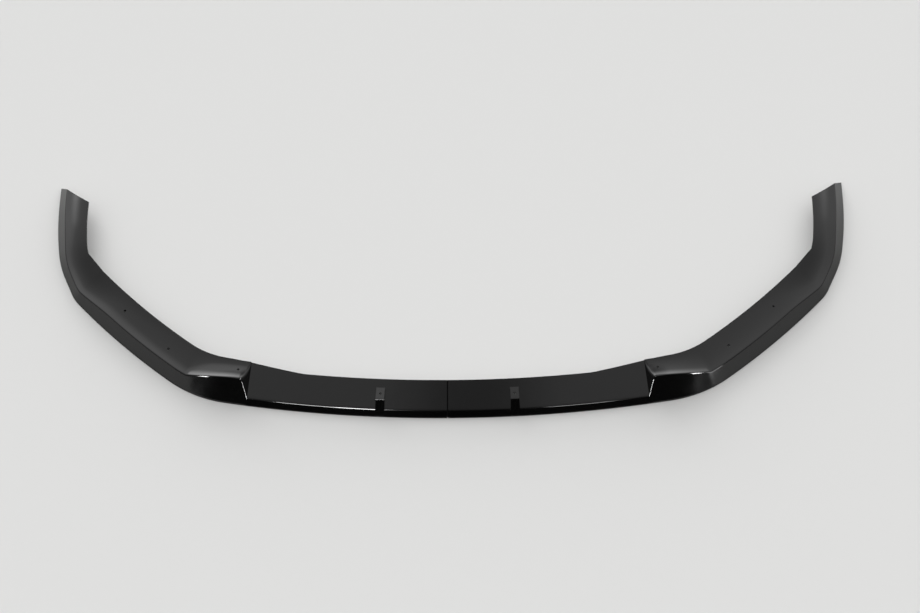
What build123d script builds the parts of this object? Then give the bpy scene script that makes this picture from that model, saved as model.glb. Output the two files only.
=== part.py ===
from build123d import *
import os
from math import asin, cos, degrees, pi, radians, sin, tan

# Overall size in millimetres: X runs across the car, the front is towards -Y, Z is up
LIP_WIDTH = 1758.0
LIP_DEPTH = 588.0

# Bottom edge in plan, from the seam outwards: radii, lengths, and headings in degrees from +X
FRONT_RADIUS = 2900.0
CORNER_RADIUS = 280.0
WING_RADIUS = 1650.0
REAR_KINK_RADIUS = 15.0
FLAT_LENGTH = 45.0
HIP_RADIUS = 245.0
LEG_RADIUS = 820.0
TAIL_LENGTH = 120.0
BEND_HEADING = 30.0
WING_START_HEADING = 37.0
WING_END_HEADING = 47.0
FLAT_HEADING = 65.0
LEG_START_HEADING = 80.0
LEG_END_HEADING = 90.0

# Section of the moulding, square to the bottom edge
WALL = 3.0
FACE_DRAFT = 34.0
RIM_HEIGHT = 14.8
SHELF_SLOPE = 26.0
RIDGE_HEIGHT = 32.3
RIDGE_HEIGHT_INNER = 54.5
RIDGE_FALL_POWER = 1.4
RIDGE_DIP = 10.0
RIDGE_DIP_REACH = 150.0
COVE_UPTURN = 28.0
COVE_REAR_STEP = 1.5

# Depth of the top from the bottom edge to the rear edge, and where along the edge it changes
SHELF_DEPTH = 69.0
WING_DEPTH = 80.0
WING_ROOT_DEPTH = 82.5
WING_BEND_DEPTH = 81.5
HIP_DEPTH = 67.0
LEG_DEPTH = 79.0
SHELF_FLARE = 115.0
REAR_CORNER_PAST_FLAT = 16.0
WALL_BEFORE_CORNER = 47.5
WING_WALL_DRAFT = 28.0

# Slanted end of the leg
TIP_SLANT = 37.0
TIP_RAKE = 9.0

# Raised screw pad on the shelf, and the screw holes: distance along the bottom edge and inwards from it
PAD_PLACE = 144.0
PAD_WIDTH = 20.0
PAD_HEIGHT = 35.5
SCREW_HOLE = 5.5
PAD_HOLE_DEPTH = 38.0
INNER_HOLE_PAST_WALL = 26.0
INNER_HOLE_DEPTH = 60.0
OUTER_HOLE_PAST_BEND = 38.0
OUTER_HOLE_DEPTH = 47.0
THIRD_HOLE_PAST_BEND = 180.0
THIRD_HOLE_DEPTH = 52.0

# Seam flanges and their bolts, which stand halfway up the flange at a distance behind the front
FLANGE = 4.0
FRONT_BOLT_DEPTH = 32.0
REAR_BOLT_DEPTH = 55.0
BOLT_DIAMETER = 5.0
BOLT_CLEARANCE = 0.5
HEX_FLATS = 8.0
HEX_SIDES = 6
HEX_CHAMFER = 0.5
HEAD_THICKNESS = 3.5
NUT_THICKNESS = 4.0
WASHER_DIAMETER = 10.0
WASHER_THICKNESS = 1.0
THREAD_OVER = 2.0

# Sections along a span, and the size and overlap of cutting bodies
PLAN_STEPS = 3
ROOT_STEPS = 8
LEG_STEPS = 10
OVERCUT = 6.0
CUTTER_TOP = 70.0
TIP_CUT = 300.0

draft_run = tan(radians(FACE_DRAFT))
slope_rise = tan(radians(SHELF_SLOPE))
face_wall = WALL / cos(radians(FACE_DRAFT))
rim_setback = RIM_HEIGHT * draft_run
front_y = -LIP_DEPTH / 2
kink_radius = WING_DEPTH + REAR_KINK_RADIUS

# Swept bodies reach past the rear edge, but not as far as the centre of the kink
body_depth = WING_DEPTH + REAR_KINK_RADIUS / 3
cutter_depth = WING_DEPTH + REAR_KINK_RADIUS * 2 / 3


def reach(radius, start, end):
    """Distance in X that an arc covers between two headings."""
    return radius * (sin(radians(end)) - sin(radians(start)))


def shelf_height(depth):
    """Height of the shelf's slope at a distance inwards from the bottom edge."""
    return RIM_HEIGHT + (depth - rim_setback) * slope_rise


# The front arc turns as far as the width leaves room for
outer_reach = (
    reach(WING_RADIUS, WING_START_HEADING, WING_END_HEADING)
    + reach(kink_radius, WING_END_HEADING, FLAT_HEADING)
    + FLAT_LENGTH * cos(radians(FLAT_HEADING))
    + reach(HIP_RADIUS, FLAT_HEADING, LEG_START_HEADING)
    + reach(LEG_RADIUS, LEG_START_HEADING, LEG_END_HEADING)
)
inner_reach = LIP_WIDTH / 2 - outer_reach - CORNER_RADIUS * sin(radians(WING_START_HEADING))
front_sine = inner_reach / (FRONT_RADIUS - CORNER_RADIUS)
front_turn = degrees(asin(front_sine))

with BuildLine() as bottom_edge:
    front = JernArc((0, front_y), (1, 0), FRONT_RADIUS, front_turn)
    corner = JernArc(front @ 1, front % 1, CORNER_RADIUS, BEND_HEADING - front_turn)
    bend = JernArc(corner @ 1, corner % 1, CORNER_RADIUS, WING_START_HEADING - BEND_HEADING)
    wing = JernArc(bend @ 1, bend % 1, WING_RADIUS, WING_END_HEADING - WING_START_HEADING)
    kink = JernArc(wing @ 1, wing % 1, kink_radius, FLAT_HEADING - WING_END_HEADING)
    flat = PolarLine(kink @ 1, FLAT_LENGTH, direction=kink % 1)
    hip = JernArc(flat @ 1, flat % 1, HIP_RADIUS, LEG_START_HEADING - FLAT_HEADING)
    leg = JernArc(hip @ 1, hip % 1, LEG_RADIUS, LEG_END_HEADING - LEG_START_HEADING)
    tail = PolarLine(leg @ 1, TAIL_LENGTH, direction=leg % 1)

edge_path = bottom_edge.wires()[0]
shelf_end = front.length - WALL_BEFORE_CORNER
flare_start = shelf_end - SHELF_FLARE
corner_end = front.length + corner.length
wing_start = corner_end + bend.length
wing_end = wing_start + wing.length
flat_end = wing_end + kink.length + flat.length
dip_place = flat_end - flat.length / 2
rear_corner = flat_end + REAR_CORNER_PAST_FLAT
hip_end = flat_end + hip.length
leg_end = hip_end + leg.length
tail_end = leg_end + TAIL_LENGTH

# Depth of the top at its turning points along the bottom edge, straight between them
depth_marks = [
    (0.0, SHELF_DEPTH),
    (flare_start, SHELF_DEPTH),
    (shelf_end, WING_DEPTH),
    (front.length, WING_ROOT_DEPTH),
    (corner_end, WING_BEND_DEPTH),
    (wing_start, WING_BEND_DEPTH),
    (wing_end, WING_DEPTH),
    (rear_corner, HIP_DEPTH),
    (leg_end, LEG_DEPTH),
    (tail_end, LEG_DEPTH),
]


def top_depth(place):
    """Depth of the top, square to the bottom edge, at a distance along that edge."""
    for (start, start_depth), (end, end_depth) in zip(depth_marks, depth_marks[1:]):
        if place <= end:
            return start_depth + (end_depth - start_depth) * (place - start) / (end - start)
    return LEG_DEPTH


def section_plane(place):
    """Upright plane square to the bottom edge: local x runs inwards, local y up."""
    tangent = edge_path.tangent_at(place, position_mode=PositionMode.LENGTH)
    origin = edge_path.position_at(place, position_mode=PositionMode.LENGTH)
    return Plane(origin=origin, x_dir=(-tangent.Y, tangent.X, 0), z_dir=tangent)


def rear_point(place):
    """Plan point of the rear edge at a distance along the bottom edge."""
    return section_plane(place).from_local_coords(Vector(top_depth(place), 0))


def cove_section(place, drop):
    """Space above the wing's cove, or above the cove lowered by drop."""
    run = min(max((place - shelf_end) / (corner_end - shelf_end), 0.0), 1.0)
    lift = cos(run**RIDGE_FALL_POWER * pi / 2)
    away = abs(place - dip_place) / RIDGE_DIP_REACH
    dip = cos(min(away, 1.0) * pi / 2) ** 2
    height = RIDGE_HEIGHT + (RIDGE_HEIGHT_INNER - RIDGE_HEIGHT) * lift - RIDGE_DIP * dip
    into_cove = Vector(1, -tan(radians(COVE_UPTURN)) * lift)
    ridge = Vector(height * draft_run, height - drop)
    ahead = ridge - into_cove * 2 * OVERCUT
    rear = Vector(WING_DEPTH, shelf_height(WING_DEPTH) + COVE_REAR_STEP - drop)
    behind = rear + Vector(1, slope_rise) * (cutter_depth - WING_DEPTH)
    with BuildSketch(section_plane(place)) as section:
        with BuildLine():
            Spline(ahead, ridge, rear, behind, tangents=[into_cove, (1, slope_rise)])
            Polyline(behind, (behind.X, CUTTER_TOP), (ahead.X, CUTTER_TOP), ahead)
        make_face()
    return section.sketch


def shelf_section(place, drop):
    """Space above the shelf's slope, or above that slope lowered by drop."""
    with BuildSketch(section_plane(place)) as section:
        with BuildLine():
            Polyline(
                (-OVERCUT, shelf_height(-OVERCUT) - drop),
                (cutter_depth, shelf_height(cutter_depth) - drop),
                (cutter_depth, CUTTER_TOP),
                (-OVERCUT, CUTTER_TOP),
                close=True,
            )
        make_face()
    return section.sketch


def pad_section(drop):
    """Side view of the screw pad, which the shelf's slope leaves standing."""
    with BuildSketch(section_plane(PAD_PLACE)) as section:
        with BuildLine():
            Polyline(
                (-OVERCUT, 0),
                (SHELF_DEPTH, 0),
                (SHELF_DEPTH, PAD_HEIGHT - drop),
                (-OVERCUT, PAD_HEIGHT - drop),
                close=True,
            )
        make_face()
    return section.sketch


def even_places(start, end, steps):
    """Distances along the bottom edge, evenly spaced from start to end."""
    return [start + (end - start) * step / steps for step in range(steps + 1)]


# Rear edge in plan: even behind the shelf, curved behind the wing, straight to its corner, then along the leg
shelf_rear = [rear_point(place) for place in even_places(0.0, flare_start, PLAN_STEPS)]
wing_rear_places = [flare_start, shelf_end, front.length, corner_end, wing_start]
wing_rear_places += even_places(wing_start, wing_end, PLAN_STEPS)[1:]
wing_rear = [rear_point(place) for place in wing_rear_places]
wing_rear_tangents = [section_plane(place).z_dir for place in (flare_start, wing_end)]
leg_rear = [rear_point(place) for place in even_places(rear_corner, leg_end, PLAN_STEPS)]

# The wing's inner end is a wall that rises from the shelf and leans outwards
wall_plane = section_plane(shelf_end)
along_foot = Vector(wall_plane.x_dir) + Vector(0, 0, slope_rise)
up_wall = Vector(0, 0, 1) + Vector(wall_plane.z_dir) * tan(radians(WING_WALL_DRAFT))
wing_wall = Plane(
    origin=wall_plane.from_local_coords(Vector(rim_setback, RIM_HEIGHT)),
    x_dir=along_foot,
    z_dir=along_foot.cross(up_wall),
)
root_places = even_places(shelf_end - OVERCUT, corner_end, ROOT_STEPS)
leg_places = even_places(corner_end, dip_place, LEG_STEPS) + even_places(dip_place, tail_end, LEG_STEPS)[1:]

with BuildPart() as body:
    with BuildSketch(section_plane(0.0)):
        with BuildLine():
            Polyline(
                (0, 0),
                (CUTTER_TOP * draft_run, CUTTER_TOP),
                (body_depth, CUTTER_TOP),
                (body_depth, 0),
                close=True,
            )
        make_face()
    sweep(path=edge_path)

with BuildPart() as footprint:
    with BuildSketch():
        with BuildLine():
            Spline(*shelf_rear)
            Spline(*wing_rear, tangents=wing_rear_tangents)
            Line(wing_rear[-1], leg_rear[0])
            Spline(*leg_rear)
            Polyline(
                leg_rear[-1],
                rear_point(tail_end),
                (LIP_WIDTH, LIP_DEPTH),
                (LIP_WIDTH, -LIP_DEPTH),
                (0, -LIP_DEPTH),
                shelf_rear[0],
            )
        make_face()
    extrude(amount=CUTTER_TOP)


def space_above(drop):
    """Solids above the top skin, lowered by drop: over the shelf, the wing's root, and the wing and leg."""
    with BuildPart() as over_shelf:
        sweep(shelf_section(0.0, drop), path=front)
        split(bisect_by=wing_wall.offset(drop), keep=Keep.BOTTOM)
        extrude(pad_section(drop), amount=PAD_WIDTH / 2 - drop, both=True, mode=Mode.SUBTRACT)
    with BuildPart() as over_root:
        loft([cove_section(place, drop) for place in root_places])
    with BuildPart() as over_leg:
        loft([cove_section(place, drop) for place in leg_places])
    return over_shelf.part, over_root.part, over_leg.part


with BuildPart() as hollow:
    with BuildSketch(section_plane(0.0)):
        with BuildLine():
            Polyline(
                (face_wall - OVERCUT * draft_run, -OVERCUT),
                (face_wall + CUTTER_TOP * draft_run, CUTTER_TOP),
                (body_depth, CUTTER_TOP),
                (body_depth, -OVERCUT),
                close=True,
            )
        make_face()
    sweep(path=edge_path)
    split(bisect_by=Plane.YZ.offset(FLANGE), keep=Keep.TOP)
    for space in space_above(WALL):
        add(space, mode=Mode.SUBTRACT)

screw_places = [
    (PAD_PLACE, PAD_HOLE_DEPTH),
    (shelf_end + INNER_HOLE_PAST_WALL, INNER_HOLE_DEPTH),
    (wing_start + OUTER_HOLE_PAST_BEND, OUTER_HOLE_DEPTH),
    (wing_start + THIRD_HOLE_PAST_BEND, THIRD_HOLE_DEPTH),
]
screw_points = [section_plane(place).from_local_coords(Vector(depth, 0)) for place, depth in screw_places]
bolt_points = [(front_y + depth, shelf_height(depth) / 2) for depth in (FRONT_BOLT_DEPTH, REAR_BOLT_DEPTH)]
tip_plane = Plane(
    origin=(LIP_WIDTH / 2, front_y + LIP_DEPTH, 0),
    z_dir=(-sin(radians(TIP_SLANT)), cos(radians(TIP_SLANT)), tan(radians(TIP_RAKE))),
)

with BuildPart() as right_half:
    add(body.part)
    add(footprint.part, mode=Mode.INTERSECT)
    with BuildSketch() as screw_holes:
        with Locations(*screw_points):
            Circle(SCREW_HOLE / 2)
    extrude(amount=CUTTER_TOP, mode=Mode.SUBTRACT)
    for space in space_above(0.0):
        add(space, mode=Mode.SUBTRACT)
    add(hollow.part, mode=Mode.SUBTRACT)
    with BuildSketch(Plane.YZ) as bolt_holes:
        with Locations(*bolt_points):
            Circle((BOLT_DIAMETER + BOLT_CLEARANCE) / 2)
    extrude(amount=FLANGE, mode=Mode.SUBTRACT)
    with BuildSketch(tip_plane) as past_tip:
        Rectangle(TIP_CUT, TIP_CUT)
    extrude(amount=TIP_CUT, mode=Mode.SUBTRACT)
right_half.part.label = "right_half"

with BuildPart() as left_half:
    mirror(right_half.part, about=Plane.YZ)
left_half.part.label = "left_half"

# The seam's fasteners lie along X: heads on the left half, nuts on the right
seat = FLANGE + WASHER_THICKNESS

with BuildPart() as seam_bolts:
    with BuildSketch(Plane.YZ.offset(-seat)):
        with Locations(*bolt_points):
            RegularPolygon(HEX_FLATS / 2, HEX_SIDES, major_radius=False)
    extrude(amount=-HEAD_THICKNESS)
    chamfer(seam_bolts.faces().group_by(Axis.X)[0].edges(), HEX_CHAMFER)
    with BuildSketch(Plane.YZ.offset(-seat)):
        with Locations(*bolt_points):
            Circle(BOLT_DIAMETER / 2)
    extrude(amount=2 * seat + NUT_THICKNESS + THREAD_OVER)
    chamfer(seam_bolts.faces().group_by(Axis.X)[-1].edges(), HEX_CHAMFER)
seam_bolts.part.label = "seam_bolts"

with BuildPart() as seam_washers:
    for side in (-1, 1):
        with BuildSketch(Plane.YZ.offset(side * FLANGE)):
            with Locations(*bolt_points):
                Circle(WASHER_DIAMETER / 2)
                Circle((BOLT_DIAMETER + BOLT_CLEARANCE) / 2, mode=Mode.SUBTRACT)
        extrude(amount=side * WASHER_THICKNESS)
seam_washers.part.label = "seam_washers"

with BuildPart() as seam_nuts:
    with BuildSketch(Plane.YZ.offset(seat)):
        with Locations(*bolt_points):
            RegularPolygon(HEX_FLATS / 2, HEX_SIDES, major_radius=False)
    extrude(amount=NUT_THICKNESS)
    chamfer(seam_nuts.faces().group_by(Axis.X)[-1].edges(), HEX_CHAMFER)
    with BuildSketch(Plane.YZ.offset(seat)):
        with Locations(*bolt_points):
            Circle(BOLT_DIAMETER / 2)
    extrude(amount=NUT_THICKNESS, mode=Mode.SUBTRACT)
seam_nuts.part.label = "seam_nuts"

os.makedirs("parts", exist_ok=True)
for piece in (right_half, left_half, seam_bolts, seam_washers, seam_nuts):
    export_step(piece.part, f"parts/{piece.part.label}.step")
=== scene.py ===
from math import cos, pi, radians, sin, tan

import bpy
from mathutils import Matrix, Vector


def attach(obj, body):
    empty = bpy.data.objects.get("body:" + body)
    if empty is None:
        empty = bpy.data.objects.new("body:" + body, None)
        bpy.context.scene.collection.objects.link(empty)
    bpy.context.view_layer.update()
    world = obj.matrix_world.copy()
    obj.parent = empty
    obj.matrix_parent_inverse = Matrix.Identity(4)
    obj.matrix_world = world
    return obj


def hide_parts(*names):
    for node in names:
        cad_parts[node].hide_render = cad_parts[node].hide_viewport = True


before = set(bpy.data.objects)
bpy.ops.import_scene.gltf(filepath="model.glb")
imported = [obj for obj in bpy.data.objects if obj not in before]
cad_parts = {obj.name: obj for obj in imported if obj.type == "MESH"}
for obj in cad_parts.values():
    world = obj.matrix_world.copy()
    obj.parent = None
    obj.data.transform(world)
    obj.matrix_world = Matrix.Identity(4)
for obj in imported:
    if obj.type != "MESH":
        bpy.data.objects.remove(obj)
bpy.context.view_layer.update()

# Sizes are in millimetres, as in the part's source; MM turns them to metres
MM = 0.001

# Bottom edge in plan, from the seam outwards: radius and turn in degrees, or None and a length
HALF_WIDTH = 879.0
FRONT_Y = -294.0
REAR_Y = 294.0
EDGE_RUNS = [
    (2900.0, 9.4335),
    (280.0, 20.5665),
    (280.0, 7.0),
    (1650.0, 10.0),
    (95.0, 18.0),
    (None, 45.0),
    (245.0, 15.0),
    (820.0, 10.0),
    (None, 160.0),
]

# Places, which are distances along the bottom edge from the seam
FLARE_START = 314.97
SHELF_END = 429.97
FRONT_END = 477.47
CORNER_END = 577.98
WING_START = 612.19
WING_END = 900.17
DIP_PLACE = 952.51
FLAT_END = 975.01
REAR_CORNER = 991.01
LEG_END = 1182.27
PAST_TIP = 1330.0

# Section of the moulding, square to the bottom edge
WALL = 3.0
FACE_DRAFT = radians(34.0)
FACE_RUN = tan(FACE_DRAFT)
FACE_WALL = WALL / cos(FACE_DRAFT)
SHELF_SLOPE = radians(26.0)
SHELF_RISE = tan(SHELF_SLOPE)
RIM_HEIGHT = 14.8
RIM_SETBACK = RIM_HEIGHT * FACE_RUN
RIDGE_HEIGHT = 32.3
RIDGE_LIFT = 22.2
RIDGE_FALL_POWER = 1.4
RIDGE_DIP = 10.0
DIP_REACH = 150.0
COVE_REAR_STEP = 1.5
COVE_MIDDLE_SHARE = 0.65
BELOW_FLOOR = 3.0

# Slopes of the cove at its ridge and its rear edge, and what the lift at the root and the dip add to them
RIDGE_SLOPE = 0.041
RIDGE_SLOPE_LIFT = -0.494
REAR_SLOPE = 0.482
REAR_SLOPE_LIFT = -0.084
REAR_SLOPE_DIP = 0.048

# Depth of the top from the bottom edge to the rear edge, by place
SHELF_DEPTH = 69.0
WING_DEPTH = 80.0
WING_ROOT_DEPTH = 82.5
WING_BEND_DEPTH = 81.5
HIP_DEPTH = 67.0
LEG_DEPTH = 79.0
DEPTH_MARKS = [
    (0.0, SHELF_DEPTH),
    (FLARE_START, SHELF_DEPTH),
    (SHELF_END, WING_DEPTH),
    (FRONT_END, WING_ROOT_DEPTH),
    (CORNER_END, WING_BEND_DEPTH),
    (WING_START, WING_BEND_DEPTH),
    (WING_END, WING_DEPTH),
]

# Wall at the wing's inner end, which leans outwards
WALL_DRAFT = radians(28.0)
WALL_LEAN = tan(WALL_DRAFT)
WALL_SLANT = 1.0 / cos(WALL_DRAFT)

# Raised screw pad on the shelf
PAD_PLACE = 144.0
PAD_HALF = 10.0
PAD_START = PAD_PLACE - PAD_HALF
PAD_END = PAD_PLACE + PAD_HALF
PAD_DRAFT = 0.8
PAD_HEIGHT = 35.5
PAD_REAR = RIM_SETBACK + (PAD_HEIGHT - RIM_HEIGHT) / SHELF_RISE

# Slanted end of the leg; its cut takes only what lies behind TIP_BEHIND
TIP_SLANT = radians(37.0)
TIP_RAKE = radians(9.0)
TIP_BEHIND = 150.0

# Screw holes by place and depth, with a short boss under each, and bolt holes in the seam's web by depth
HOLE_RADIUS = 2.75
SCREW_HOLES = [(PAD_PLACE, 38.0), (455.97, 60.0), (650.19, 47.0), (792.19, 52.0)]
SCREW_DRILL = 80.0
BOSS_RADIUS = 4.5
BOSS_LENGTH = 12.0
BOLT_DEPTHS = [32.0, 55.0]
BOLT_DRILL = 20.0
ROUND_SIDES = 32

# Web that closes the skin at the seam: its thickness, and how far it lies below the skin's outside
FLANGE = 4.0
WEB_SINK = 2.7
WEB_OVERHANG = 2.0

# Rounding of the moulding's edges
RIM_ROUND = 3.0
RIDGE_ROUND = 1.6
ROOT_ROUND = 3.6
ROOT_ROUND_REACH = 45.0
FOOT_ROUND = 1.8
FOOT_UNDER_SHARE = 0.6
FOOT_TOE_SHARE = 0.15
PAD_ROUND = 1.2
INNER_ROUND = 0.6

# Top edge of the wall: where the wall's flat ends, its rounding starts, and it ends on the cove
WALL_FLAT_SHARE = 0.82
WALL_FOOT_SHARE = 0.86
WALL_TOP_SHARE = 0.3
WALL_EDGE_SHARES = [0.0, 0.25, 0.5, 0.75, 1.0]

# Groove at the seam: how far the outside falls away, by place, and how far the painted seam shade reaches
SEAM_DROPS = {-4.0: 2.4, 0.0: 2.4, 1.3: 2.4, 1.34: 0.0}
SEAM_OVERHANG = 3.0
SEAM_SHADE_REACH = 1.36

# Rows of the skin from the bottom edge to the rear edge; the face's rows are shares of its height
FOOT_ROWS = 4
FACE_SHARES = [0.05, 0.5, 0.95, 1.0]
CREST_ROWS = 5
MIDDLE_ROWS = 10
REAR_ROWS = 5
SIDE_ROWS = 1 + FOOT_ROWS + len(FACE_SHARES) + CREST_ROWS + MIDDLE_ROWS + REAR_ROWS

# Sections along the bottom edge: where they start, and the step from one to the next up to each place
SEAM_FLAT = 4.0
SHELF_FIRST = 14.0
SHELF_MARGIN = 10.0
SHELF_STEP = 12.0
PAD_STEP = 6.0
WING_FIRST = 450.0
WING_STEPS = [
    (CORNER_END, 6.0),
    (WING_START, 5.0),
    (WING_END, 10.0),
    (FLAT_END, 4.0),
    (REAR_CORNER, 4.0),
    (LEG_END, 8.0),
    (PAST_TIP, 10.0),
]

# Rounds of the loops that settle where two surfaces meet, and limits for the finished mesh
CREST_ROUNDS = 40
WALL_ROUNDS = 8
MERGE_GAP = 0.01
AHEAD_OF_LIP = -1000.0
SMOOTH_ANGLE = radians(25.0)


def edge_point(place):
    """Point of the bottom edge in plan, and its heading, at a place."""
    x, y, heading = 0.0, FRONT_Y, 0.0
    for radius, size in EDGE_RUNS:
        length = size if radius is None else radius * radians(size)
        covered = min(place, length)
        if radius is None:
            x += covered * cos(heading)
            y += covered * sin(heading)
        else:
            turned = heading + covered / radius
            x += radius * (sin(turned) - sin(heading))
            y += radius * (cos(heading) - cos(turned))
            heading = turned
        place -= covered
        if place <= 0.0:
            break
    return Vector((x, y)), heading


def inwards(place):
    """Direction in plan square to the bottom edge, towards the car."""
    _, heading = edge_point(place)
    return Vector((-sin(heading), cos(heading)))


def plan_point(place, depth):
    """Point in plan at a depth inwards from the bottom edge."""
    point, _ = edge_point(place)
    return point + inwards(place) * depth


def rear_depth(place):
    """Depth of the top, square to the bottom edge, at a place."""
    for (start, start_depth), (end, end_depth) in zip(DEPTH_MARKS, DEPTH_MARKS[1:]):
        if place <= end:
            return start_depth + (end_depth - start_depth) * (place - start) / (end - start)
    if place <= REAR_CORNER:
        # The rear edge is straight from the wing's end to its corner
        start = plan_point(WING_END, WING_DEPTH)
        straight = plan_point(REAR_CORNER, HIP_DEPTH) - start
        gap = start - plan_point(place, 0.0)
        return gap.cross(straight) / inwards(place).cross(straight)
    run = min(1.0, (place - REAR_CORNER) / (LEG_END - REAR_CORNER))
    return HIP_DEPTH + (LEG_DEPTH - HIP_DEPTH) * run


def shelf_height(depth):
    """Height of the shelf's slope at a depth."""
    return RIM_HEIGHT + (depth - RIM_SETBACK) * SHELF_RISE


def pad_height(depth):
    """Height of the flat screw pad, and of the shelf behind it."""
    return max(PAD_HEIGHT, shelf_height(depth))


def root_lift(place):
    """How far the wing's ridge is raised: 1 at its inner end and 0 past the corner."""
    run = (place - SHELF_END) / (CORNER_END - SHELF_END)
    return cos(min(max(run, 0.0), 1.0) ** RIDGE_FALL_POWER * pi / 2)


def hip_dip(place):
    """How far the ridge is lowered: 1 at the hip and 0 on the wing and the leg."""
    return cos(min(abs(place - DIP_PLACE) / DIP_REACH, 1.0) * pi / 2) ** 2


def ridge_height(place):
    """Height of the ridge along the wing and the leg."""
    return RIDGE_HEIGHT + RIDGE_LIFT * root_lift(place) - RIDGE_DIP * hip_dip(place)


def cove_height(place, depth):
    """Height of the wing's hollow curve between its ridge and its rear edge."""
    lift = root_lift(place)
    ridge = ridge_height(place)
    start = ridge * FACE_RUN
    span = WING_DEPTH - start
    u = (depth - start) / span
    rear = shelf_height(WING_DEPTH) + COVE_REAR_STEP
    leaving = (RIDGE_SLOPE + RIDGE_SLOPE_LIFT * lift) * span
    arriving = (REAR_SLOPE + REAR_SLOPE_LIFT * lift + REAR_SLOPE_DIP * hip_dip(place)) * span
    return (
        (2 * u**3 - 3 * u**2 + 1) * ridge
        + (u**3 - 2 * u**2 + u) * leaving
        + (3 * u**2 - 2 * u**3) * rear
        + (u**3 - u**2) * arriving
    )


def wall_place(depth, height):
    """Place of the leaning wall at a depth and a height."""
    return SHELF_END + (height - shelf_height(depth)) * WALL_LEAN


def spaced(start, end, step):
    """Places from start to end, about a step apart."""
    count = max(1, round((end - start) / step))
    return [start + (end - start) * number / count for number in range(count + 1)]


def steps(start, end, count):
    """count values from start to end, start left out."""
    return [start + (end - start) * (number + 1) / count for number in range(count)]


def bend(before, corner, after, count):
    """count points of a curve round a corner, the point before it left out."""
    return [
        before * (1 - u) ** 2 + corner * (2 * u * (1 - u)) + after * u**2
        for u in steps(0.0, 1.0, count)
    ]


def profile(top, middle, rear, face_shift, rounding, foot):
    """Points (depth, height) of a section: round the foot, up the face, over the crest, along the top."""
    crest = face_shift
    for _ in range(CREST_ROUNDS):
        crest = face_shift + FACE_RUN * top(crest)
    corner = Vector((crest, top(crest)))
    up_face = Vector((FACE_RUN, 1.0))
    toe = Vector((face_shift, 0.0))
    under = toe + Vector((foot, -FOOT_UNDER_SHARE * foot))
    bottom = under - up_face * (BELOW_FLOOR - FOOT_UNDER_SHARE * foot)
    start = toe + up_face * foot
    before = corner - up_face * rounding
    after = Vector((crest + rounding, top(crest + rounding)))
    points = [bottom, under]
    points += bend(under, toe - up_face * FOOT_TOE_SHARE * foot, start, FOOT_ROWS - 1)
    points += [start.lerp(before, share) for share in FACE_SHARES]
    points += bend(before, corner, after, CREST_ROWS)
    depths = steps(after.x, middle, MIDDLE_ROWS) + steps(middle, rear, REAR_ROWS)
    return points + [Vector((depth, top(depth))) for depth in depths]


def column(place, top, middle, rounding, inner_place=None):
    """Points (place, depth, height) round one section: up the outside, back along the inside, closed."""
    rear = rear_depth(place)
    foot = INNER_ROUND if place in SEAM_DROPS else FOOT_ROUND
    outside = [(place, *point) for point in profile(top, middle, rear, 0.0, rounding, foot)]
    inner_place = place if inner_place is None else inner_place
    inside = profile(lambda depth: top(depth) - WALL, middle, rear, FACE_WALL, INNER_ROUND, INNER_ROUND)
    return outside + [(inner_place, *point) for point in reversed(inside)] + [outside[0]]


def shelf_column(place, inner_place=None):
    """Section of the shelf."""
    return column(place, shelf_height, PAD_REAR, RIM_ROUND, inner_place)


def pad_column(place):
    """Section of the screw pad, whose inside is narrower by the wall."""
    inner_place = PAD_PLACE + (place - PAD_PLACE) * (PAD_HALF - WALL) / (PAD_HALF - PAD_DRAFT)
    return column(place, pad_height, PAD_REAR, PAD_ROUND, inner_place)


def wing_column(place):
    """Section of the wing or the leg; the ridge is rounder close to the wing's inner end."""
    crest = ridge_height(place) * FACE_RUN
    middle = crest + (rear_depth(place) - crest) * COVE_MIDDLE_SHARE
    rooted = max(0.0, 1.0 - (place - SHELF_END) / ROOT_ROUND_REACH)
    rounding = RIDGE_ROUND + (ROOT_ROUND - RIDGE_ROUND) * rooted
    return column(place, lambda depth: cove_height(place, depth), middle, rounding)


def wall_top_column():
    """Top edge of the wall at the wing's inner end, which leans out into the cove."""
    apex = SHELF_END
    for _ in range(WALL_ROUNDS):
        apex = wall_place(ridge_height(apex) * FACE_RUN, ridge_height(apex))
    points = []
    for number, (place, depth, height) in enumerate(wing_column(apex)):
        drop = WALL if SIDE_ROWS <= number < 2 * SIDE_ROWS else 0.0
        if depth > ridge_height(apex) * FACE_RUN:
            for _ in range(WALL_ROUNDS):
                height = cove_height(place, depth)
                place = wall_place(depth, height)
            height -= drop
        points.append((place + drop * WALL_SLANT, depth, height))
    return points


def between(first, second, share):
    """A section part of the way from one section to the next, point by point."""
    return [tuple(Vector(start).lerp(Vector(end), share)) for start, end in zip(first, second)]


def rounded_edge(before, corner, after):
    """Sections that round the edge at a corner section, from the one before it to the one after it."""
    sections = []
    for share in WALL_EDGE_SHARES:
        sections.append(between(between(before, corner, share), between(corner, after, share), share))
    return sections


# Sections of the shelf with its pad
columns = [shelf_column(place) for place in (*SEAM_DROPS, SEAM_FLAT)]
columns += [shelf_column(place) for place in spaced(SHELF_FIRST, PAD_START - SHELF_MARGIN, SHELF_STEP)]
columns += [shelf_column(PAD_START, PAD_START + WALL - PAD_DRAFT)]
columns += [pad_column(place) for place in spaced(PAD_START + PAD_DRAFT, PAD_END - PAD_DRAFT, PAD_STEP)]
columns += [shelf_column(PAD_END, PAD_END - WALL + PAD_DRAFT)]
shelf_places = spaced(PAD_END + SHELF_MARGIN, SHELF_END - SHELF_MARGIN, SHELF_STEP)
columns += [shelf_column(place) for place in shelf_places]

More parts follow.
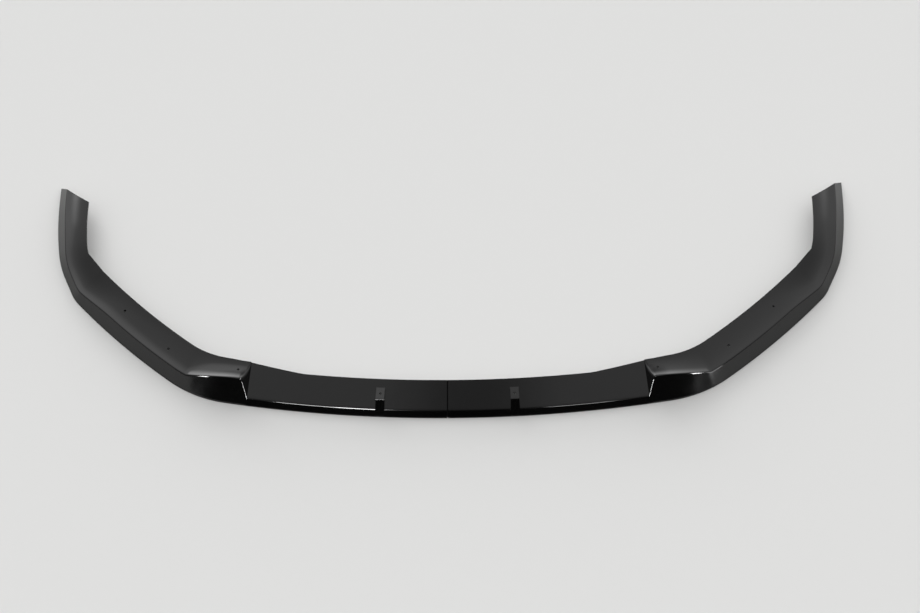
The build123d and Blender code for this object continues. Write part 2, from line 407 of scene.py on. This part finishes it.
# Sections of the wall at the wing's inner end, with its rounded top edge
wall_foot = shelf_column(SHELF_END, SHELF_END + WALL * WALL_SLANT)
wall_top = wall_top_column()
wing_first = wing_column(WING_FIRST)
below_edge = between(wall_foot, wall_top, WALL_FLAT_SHARE)
on_wall = between(wall_foot, wall_top, WALL_FOOT_SHARE)
on_cove = between(wall_top, wing_first, WALL_TOP_SHARE)
columns += [wall_foot, below_edge, *rounded_edge(on_wall, wall_top, on_cove), wing_first]

# Sections of the wing and the leg
span_start = WING_FIRST
for span_end, step in WING_STEPS:
    columns += [wing_column(place) for place in spaced(span_start, span_end, step)[1:]]
    span_start = span_end


def skin_point(number, row):
    """Place in space of one point of the skin, in metres."""
    points = columns[number]
    place, depth, height = points[row]
    drop = SEAM_DROPS.get(place, 0.0)
    row %= 2 * SIDE_ROWS
    if drop > 0.0 and row < SIDE_ROWS:
        # The outside falls away square to itself, and the foot goes with the face above it
        row = max(row, FOOT_ROWS + 2)
        along = Vector(points[min(row + 1, SIDE_ROWS - 1)][1:]) - Vector(points[row - 1][1:])
        along.normalize()
        depth += along.y * drop
        height -= along.x * drop
    return Vector((*plan_point(place, depth), height)) * MM


def deselect_all():
    """Leaves nothing selected, so that an operator acts only on what is selected next."""
    bpy.ops.object.select_all(action="DESELECT")


def make_active(piece):
    """Selects one piece alone."""
    deselect_all()
    piece.select_set(True)
    bpy.context.view_layer.objects.active = piece


def combine(piece, tool, operation):
    """Joins a tool's shape to a piece, or cuts it away, and removes the tool."""
    modifier = piece.modifiers.new("combine", "BOOLEAN")
    modifier.object = tool
    modifier.operation = operation
    modifier.solver = "EXACT"
    make_active(piece)
    bpy.ops.object.modifier_apply(modifier=modifier.name)
    bpy.data.objects.remove(tool)


def cut_off(piece, point, normal, behind=AHEAD_OF_LIP):
    """Cuts the faces behind a distance in Y along a plane, and closes the cut; the normal's side goes."""
    make_active(piece)
    bpy.ops.object.mode_set(mode="EDIT")
    bpy.ops.mesh.select_mode(type="FACE")
    bpy.ops.mesh.select_all(action="DESELECT")
    bpy.ops.object.mode_set(mode="OBJECT")
    for face in piece.data.polygons:
        face.select = face.center.y > behind * MM
    bpy.ops.object.mode_set(mode="EDIT")
    bpy.ops.mesh.bisect(
        plane_co=[size * MM for size in point], plane_no=normal, use_fill=True, clear_outer=True
    )
    bpy.ops.object.mode_set(mode="OBJECT")


# The right half's skin is a grid whose rows run along the bottom edge, wrapped round its sections
last_column = len(columns) - 1
last_row = len(columns[0]) - 1
deselect_all()
bpy.ops.mesh.primitive_grid_add(x_subdivisions=last_column, y_subdivisions=last_row, size=1.0)
right_half = bpy.context.object
right_half.name = "right_moulding"
for vertex in right_half.data.vertices:
    number = round((vertex.co.x + 0.5) * last_column)
    row = round((vertex.co.y + 0.5) * last_row)
    vertex.co = skin_point(number, row)
bpy.ops.object.mode_set(mode="EDIT")
bpy.ops.mesh.select_all(action="SELECT")
bpy.ops.mesh.remove_doubles(threshold=MERGE_GAP * MM)
bpy.ops.object.mode_set(mode="OBJECT")
tip_normal = (-sin(TIP_SLANT), cos(TIP_SLANT), tan(TIP_RAKE))
cut_off(right_half, (-SEAM_OVERHANG, 0.0, 0.0), (-1.0, 0.0, 0.0))
cut_off(right_half, (HALF_WIDTH, REAR_Y, 0.0), tip_normal, TIP_BEHIND)

# A web closes the skin at the seam, for the bolts that join the halves
web_top = shelf_height(0.0) - WEB_SINK / cos(SHELF_SLOPE)
web_face = WEB_SINK / cos(FACE_DRAFT)
rim_depth = (web_top * FACE_RUN + web_face) / (1.0 - SHELF_RISE * FACE_RUN)
web_corners = {
    (-1, -1): (web_face - BELOW_FLOOR * FACE_RUN, -BELOW_FLOOR),
    (-1, 1): (rim_depth, web_top + rim_depth * SHELF_RISE),
    (1, 1): (SHELF_DEPTH, web_top + SHELF_DEPTH * SHELF_RISE),
    (1, -1): (SHELF_DEPTH, -BELOW_FLOOR),
}
deselect_all()
bpy.ops.mesh.primitive_cube_add(size=2.0)
web = bpy.context.object
for vertex in web.data.vertices:
    depth, height = web_corners[(round(vertex.co.y), round(vertex.co.z))]
    side = FLANGE if vertex.co.x > 0.0 else -WEB_OVERHANG
    vertex.co = Vector((side, FRONT_Y + depth, height)) * MM
combine(right_half, web, "UNION")

# The bottom and the seam are cut flat
cut_off(right_half, (0.0, 0.0, 0.0), (0.0, 0.0, -1.0))
cut_off(right_half, (0.0, 0.0, 0.0), (-1.0, 0.0, 0.0))

# A short boss under the skin holds each screw; its top ends inside the skin and follows it
for place, depth in SCREW_HOLES:
    centre = plan_point(place, depth)
    deselect_all()
    bpy.ops.mesh.primitive_cylinder_add(vertices=ROUND_SIDES, radius=BOSS_RADIUS, depth=BOSS_LENGTH)
    boss = bpy.context.object
    for vertex in boss.data.vertices:
        offset = Vector((vertex.co.x, vertex.co.y))
        above = vertex.co.z > 0.0
        deep = depth + offset.dot(inwards(place)) if above else depth
        skin = pad_height(deep) if place == PAD_PLACE else cove_height(place, deep)
        height = skin - WALL / 2 if above else skin - BOSS_LENGTH
        vertex.co = Vector((centre.x + offset.x, centre.y + offset.y, height)) * MM
    combine(right_half, boss, "UNION")

# Screw holes stand upright and bolt holes run across the seam
drills = []
for place, depth in SCREW_HOLES:
    centre = plan_point(place, depth)
    drills.append((SCREW_DRILL, (centre.x, centre.y, SCREW_DRILL / 2), 0.0))
for depth in BOLT_DEPTHS:
    drills.append((BOLT_DRILL, (0.0, FRONT_Y + depth, shelf_height(depth) / 2), pi / 2))
for length, centre, turn in drills:
    bpy.ops.mesh.primitive_cylinder_add(
        vertices=ROUND_SIDES,
        radius=HOLE_RADIUS * MM,
        depth=length * MM,
        location=[size * MM for size in centre],
        rotation=(0.0, turn, 0.0),
    )
    combine(right_half, bpy.context.object, "DIFFERENCE")

# The left half is the right half's mirror image
left_half = right_half.copy()
left_half.data = right_half.data.copy()
left_half.name = "left_moulding"
bpy.context.collection.objects.link(left_half)
make_active(left_half)
bpy.ops.object.mode_set(mode="EDIT")
bpy.ops.mesh.select_all(action="SELECT")
bpy.ops.transform.resize(value=(-1.0, 1.0, 1.0), center_override=(0.0, 0.0, 0.0))
bpy.ops.mesh.normals_make_consistent(inside=False)
bpy.ops.object.mode_set(mode="OBJECT")

for half in (right_half, left_half):
    make_active(half)
    bpy.ops.object.shade_smooth_by_angle(angle=SMOOTH_ANGLE)


def colour(code):
    """Linear colour of an sRGB hex value."""
    channels = [int(code[number : number + 2], 16) / 255 for number in (1, 3, 5)]
    return tuple(c / 12.92 if c <= 0.04045 else ((c + 0.055) / 1.055) ** 2.4 for c in channels) + (1.0,)


def add_node(tree, kind, inputs=None, **settings):
    """Adds a node with its settings, and sets or links its inputs."""
    node = tree.nodes.new(kind)
    for name, value in settings.items():
        setattr(node, name, value)
    for name, value in (inputs or {}).items():
        if isinstance(value, bpy.types.NodeSocket):
            tree.links.new(value, node.inputs[name])
        else:
            node.inputs[name].default_value = value
    return node


def new_material(name):
    """An empty node material and its tree."""
    material = bpy.data.materials.new(name)
    material.use_nodes = True
    material.node_tree.nodes.clear()
    return material, material.node_tree


# Part of the noise's range that a finish's roughness is spread over
NOISE_SPAN = {"From Min": 0.3, "From Max": 0.7}

# Gloss black ABS: moulded in a polished tool, deep black, with a faint waviness in what it mirrors
SINK_SIZE = 60.0
SINK_DEPTH = 2.0
abs_black, tree = new_material("gloss_black_abs")
spot = add_node(tree, "ShaderNodeTexCoord").outputs["Object"]
sink = add_node(
    tree, "ShaderNodeTexNoise", {"Vector": spot, "Scale": 1 / (SINK_SIZE * MM), "Detail": 2.0}
).outputs["Fac"]
haze = add_node(tree, "ShaderNodeMapRange", {"Value": sink, **NOISE_SPAN, "To Min": 0.06, "To Max": 0.1})
waves = add_node(
    tree, "ShaderNodeBump", {"Height": sink, "Strength": 0.05, "Distance": SINK_DEPTH * MM}
)
gloss = add_node(
    tree,
    "ShaderNodeBsdfPrincipled",
    {
        "Base Color": colour("#060606"),
        "Roughness": haze.outputs["Result"],
        "IOR": 1.5,
        "Normal": waves.outputs["Normal"],
    },
)
add_node(tree, "ShaderNodeOutputMaterial", {"Surface": gloss.outputs["BSDF"]})

# Painted seam shade: a dull black that mirrors nothing, put on the faces at the seam to stand in for the
# shade in the groove; a fine noise roughens it
SAW_MARK_SIZE = 0.8
SAW_MARK_DEPTH = 0.1
# Material for the painted shade in the seam's groove, with weak specular so it stays dark
seam_shade_abs, tree = new_material("painted_seam_shade")
spot = add_node(tree, "ShaderNodeTexCoord").outputs["Object"]
saw = add_node(
    tree, "ShaderNodeTexNoise", {"Vector": spot, "Scale": 1 / (SAW_MARK_SIZE * MM), "Detail": 2.0}
).outputs["Fac"]
dull = add_node(tree, "ShaderNodeMapRange", {"Value": saw, **NOISE_SPAN, "To Min": 0.8, "To Max": 0.95})
marks = add_node(
    tree, "ShaderNodeBump", {"Height": saw, "Strength": 0.3, "Distance": SAW_MARK_DEPTH * MM}
)
seam_shade_bsdf = add_node(
    tree,
    "ShaderNodeBsdfPrincipled",
    {
        "Base Color": colour("#050505"),
        "Roughness": dull.outputs["Result"],
        "Specular IOR Level": 0.15,
        "Normal": marks.outputs["Normal"],
    },
)
add_node(tree, "ShaderNodeOutputMaterial", {"Surface": seam_shade_bsdf.outputs["BSDF"]})

# Zinc plated steel: bright, slightly blue, with a fine uneven satin from the plating
PLATING_SIZE = 1.5
zinc_steel, tree = new_material("zinc_plated_steel")
spot = add_node(tree, "ShaderNodeTexCoord").outputs["Object"]
plating = add_node(
    tree, "ShaderNodeTexNoise", {"Vector": spot, "Scale": 1 / (PLATING_SIZE * MM), "Detail": 3.0}
).outputs["Fac"]
satin = add_node(tree, "ShaderNodeMapRange", {"Value": plating, **NOISE_SPAN, "To Min": 0.28, "To Max": 0.42})
steel = add_node(
    tree,
    "ShaderNodeBsdfPrincipled",
    {"Base Color": colour("#C3C7CB"), "Metallic": 1.0, "Roughness": satin.outputs["Result"]},
)
add_node(tree, "ShaderNodeOutputMaterial", {"Surface": steel.outputs["BSDF"]})

# Each half is gloss black, and its faces at the seam carry the painted seam shade
for half, node in ((right_half, "right_half"), (left_half, "left_half")):
    half.data.materials.clear()
    half.data.materials.append(abs_black)
    half.data.materials.append(seam_shade_abs)
    # Faces close to the seam get the second material, the painted seam shade
    for face in half.data.polygons:
        corners = [half.data.vertices[number].co for number in face.vertices]
        face.material_index = int(max(abs(corner.x) for corner in corners) < SEAM_SHADE_REACH * MM)
    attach(half, "root")
    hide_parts(node)
for node in ("seam_bolts", "seam_washers", "seam_nuts"):
    for material_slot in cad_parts[node].material_slots:
        material_slot.material = zinc_steel

# Plain pale floor, just below the lip
FLOOR_SIZE = 30.0
FLOOR_GAP = 0.3
deselect_all()
bpy.ops.mesh.primitive_plane_add(size=FLOOR_SIZE, location=(0.0, 0.0, -FLOOR_GAP * MM))
floor = bpy.context.object
floor.name = "floor"
floor_paint, tree = new_material("pale_floor")
matt = add_node(tree, "ShaderNodeBsdfDiffuse", {"Color": colour("#DCDCDB")})
add_node(tree, "ShaderNodeOutputMaterial", {"Surface": matt.outputs["BSDF"]})
floor.data.materials.append(floor_paint)

# Room light from front to back and from the middle to the sides: dim in front, with a gap in the middle
DEPTH_LEVELS = [(0.1, 0.02), (0.315, 0.47), (0.5, 0.6), (0.75, 0.8), (1.0, 1.0)]
SIDE_LEVELS = [(0.0, 0.5), (0.03, 0.5), (0.1, 1.0), (0.6, 1.0), (0.85, 0.55), (1.0, 0.5)]
ROOM_STRENGTH = 1.6

# Soft patch high at the back on the left: where it lies, and its level by how near to it one looks
SOFT_PATCH = (-0.3, 0.5, 0.81)
PATCH_LEVELS = (0.91, 0.99, 0.0, 0.6)

# Long low light across the back: its level by height, which droops at the sides
LOW_LIGHT_DROOP = -0.4
LOW_LIGHT_LEVELS = (0.56, 0.24, 0.0, 2.6)

# Factors on the low light by how far back, right and out it lies: a start, an end and the values there
LOW_LIGHT_BACK = (0.4, 0.6, 0.0, 1.0)
LOW_LIGHT_RIGHT = (-0.5, 0.5, 1.5, 0.6)
LOW_LIGHT_OUT = (0.56, 0.72, 1.0, 0.0)

world = bpy.data.worlds.new("room")
bpy.context.scene.world = world
world.use_nodes = True
tree = world.node_tree
tree.nodes.clear()
towards = add_node(tree, "ShaderNodeTexCoord").outputs["Generated"]
parts = add_node(tree, "ShaderNodeSeparateXYZ", {"Vector": towards}).outputs
back = add_node(tree, "ShaderNodeMapRange", {"Value": parts["Y"], "From Min": -1.0, "From Max": 1.0})
out = add_node(tree, "ShaderNodeMath", {0: parts["X"]}, operation="ABSOLUTE").outputs["Value"]
near = add_node(tree, "ShaderNodeVectorMath", {0: towards, 1: SOFT_PATCH}, operation="DOT_PRODUCT")
low = add_node(tree, "ShaderNodeMath", {0: out, 1: LOW_LIGHT_DROOP, 2: parts["Z"]}, operation="MULTIPLY_ADD")

factors = []
for value, levels in ((back.outputs["Result"], DEPTH_LEVELS), (out, SIDE_LEVELS)):
    ramp = add_node(tree, "ShaderNodeValToRGB", {"Fac": value})
    stops = ramp.color_ramp.elements
    while len(stops) < len(levels):
        stops.new(0.5)
    for stop, (position, grey) in zip(stops, levels):
        stop.position = position
        stop.color = (grey, grey, grey, 1.0)
    factors.append(ramp.outputs["Color"])

spread = []
for value, (start, end, first, last) in (
    (near.outputs["Value"], PATCH_LEVELS),
    (low.outputs["Value"], LOW_LIGHT_LEVELS),
    (parts["Y"], LOW_LIGHT_BACK),
    (parts["X"], LOW_LIGHT_RIGHT),
    (out, LOW_LIGHT_OUT),
):
    smooth = add_node(
        tree,
        "ShaderNodeMapRange",
        {"Value": value, "From Min": start, "From Max": end, "To Min": first, "To Max": last},
        interpolation_type="SMOOTHSTEP",
    )
    spread.append(smooth.outputs["Result"])

patch, *low_light_factors = spread
lights = []
for product in ([*factors, ROOM_STRENGTH], low_light_factors):
    light, *others = product
    for factor in others:
        light = add_node(tree, "ShaderNodeMath", {0: light, 1: factor}, operation="MULTIPLY").outputs["Value"]
    lights.append(light)
room_light, low_light = lights
glow = room_light
for light in (patch, low_light):
    glow = add_node(tree, "ShaderNodeMath", {0: glow, 1: light}, operation="ADD").outputs["Value"]
room = add_node(tree, "ShaderNodeBackground", {"Color": colour("#FFFFFF"), "Strength": glow})
add_node(tree, "ShaderNodeOutputWorld", {"Surface": room.outputs["Background"]})

# Soft lamps that show only in the gloss, while the room lights the floor: place, aim, size in metres, watts
LAMPS = {
    "front_left": ((-0.62, -2.6, 1.8), (-0.2, -0.27, 0.0), (0.3, 0.45), 19.0),
    "front_far_left": ((-0.95, -2.6, 1.8), (-0.3, -0.27, 0.0), (0.4, 0.3), 10.0),
    "front_right": ((0.75, -2.6, 1.8), (0.24, -0.27, 0.0), (0.4, 0.3), 3.8),
    "side_left": ((-5.2, -5.83, 1.1), (0.43, -0.24, 0.0), (1.0, 0.8), 150.0),
    "side_right": ((5.2, -5.83, 1.15), (-0.43, -0.24, 0.0), (1.0, 0.8), 150.0),
    "corner_right": ((2.5, -1.7, 0.35), (0.56, -0.19, 0.0), (0.5, 0.6), 4.0),
}
for name, (place, aim, (width, height), power) in LAMPS.items():
    lamp = bpy.data.lights.new(name, "AREA")
    lamp.shape = "RECTANGLE"
    lamp.size, lamp.size_y, lamp.energy = width, height, power
    holder = bpy.data.objects.new(name, lamp)
    holder.location = place
    holder.visible_diffuse = False
    holder.rotation_euler = (Vector(aim) - Vector(place)).to_track_quat("-Z", "Y").to_euler()
    bpy.context.collection.objects.link(holder)

# Camera at the photograph's angle: 60 degrees above the floor, turned and tilted a little
CAMERA_TURN = radians(2.5)
CAMERA_ABOVE = radians(60.0)
CAMERA_TILT = radians(-2.545)
CAMERA_AIM = Vector((0.0246, -0.0206, 0.0))
CAMERA_DISTANCE = 4.73
CAMERA_FOCAL_PIXELS = 2170.3
PHOTO_WIDTH = 920.0
SENSOR_WIDTH = 36.0
FAR_CLIP = 100.0
camera = bpy.data.cameras.new("camera")
camera.sensor_fit = "HORIZONTAL"
camera.sensor_width = SENSOR_WIDTH
camera.lens = CAMERA_FOCAL_PIXELS / PHOTO_WIDTH * SENSOR_WIDTH
camera.clip_end = FAR_CLIP
viewer = bpy.data.objects.new("camera", camera)
turned = (
    Matrix.Rotation(CAMERA_TURN, 4, "Z")
    @ Matrix.Rotation(pi / 2 - CAMERA_ABOVE, 4, "X")
    @ Matrix.Rotation(CAMERA_TILT, 4, "Z")
)
away = turned.to_3x3() @ Vector((0.0, 0.0, 1.0))
viewer.matrix_world = Matrix.Translation(CAMERA_AIM + away * CAMERA_DISTANCE) @ turned
bpy.context.collection.objects.link(viewer)
bpy.context.scene.camera = viewer
bpy.context.scene.view_settings.view_transform = "Standard"
